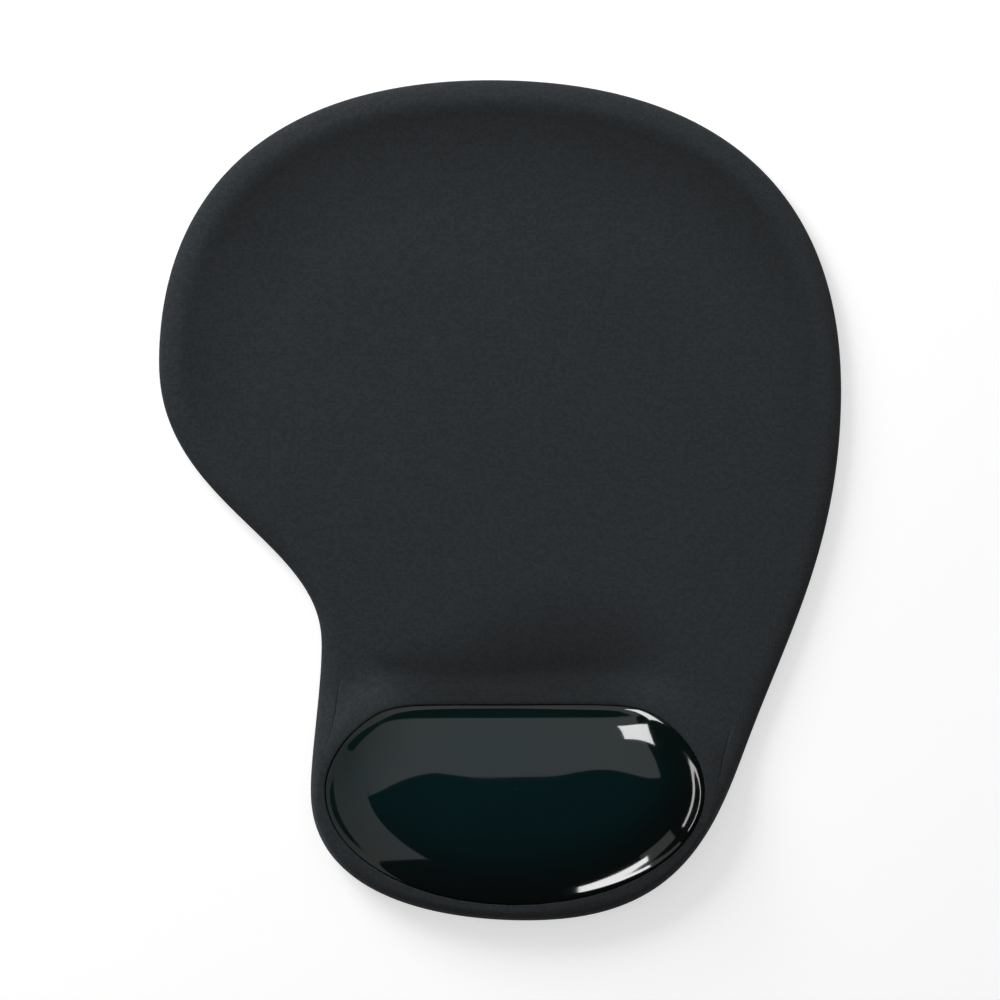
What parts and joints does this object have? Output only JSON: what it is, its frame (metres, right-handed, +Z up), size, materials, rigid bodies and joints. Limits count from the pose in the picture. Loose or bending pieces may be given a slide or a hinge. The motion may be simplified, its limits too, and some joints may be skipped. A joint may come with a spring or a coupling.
{
  "type": "wrist rest",
  "caption": "Flat mouse mat with a knitted cover, a rounded edge and a raised oval gel pad that supports the wrist.",
  "frame": {"origin": "on the table, at the middle of the mat's overall width and depth", "axes": "+X to the user's right, +Y away from the user, +Z up; the gel pad is at the -Y end"},
  "size_m": [0.2, 0.246, 0.0185],
  "materials": {
    "knitted_cover": "matte",
    "moulded_foam": "matte",
    "grip_sheet": "matte",
    "adhesive_film": "satin",
    "tray_film": "satin",
    "gel": "gloss",
    "gel_film": "polished"
  },
  "bodies": {
    "root": {"grip_base": "grip_sheet", "base_adhesive": "adhesive_film", "foam_body": "moulded_foam", "cover_adhesive": "adhesive_film", "cover_fabric": "knitted_cover", "gel_adhesive": "adhesive_film", "gel_backing": "tray_film", "gel_filling": "gel", "gel_skin": "gel_film"}
  },
  "joints": []
}
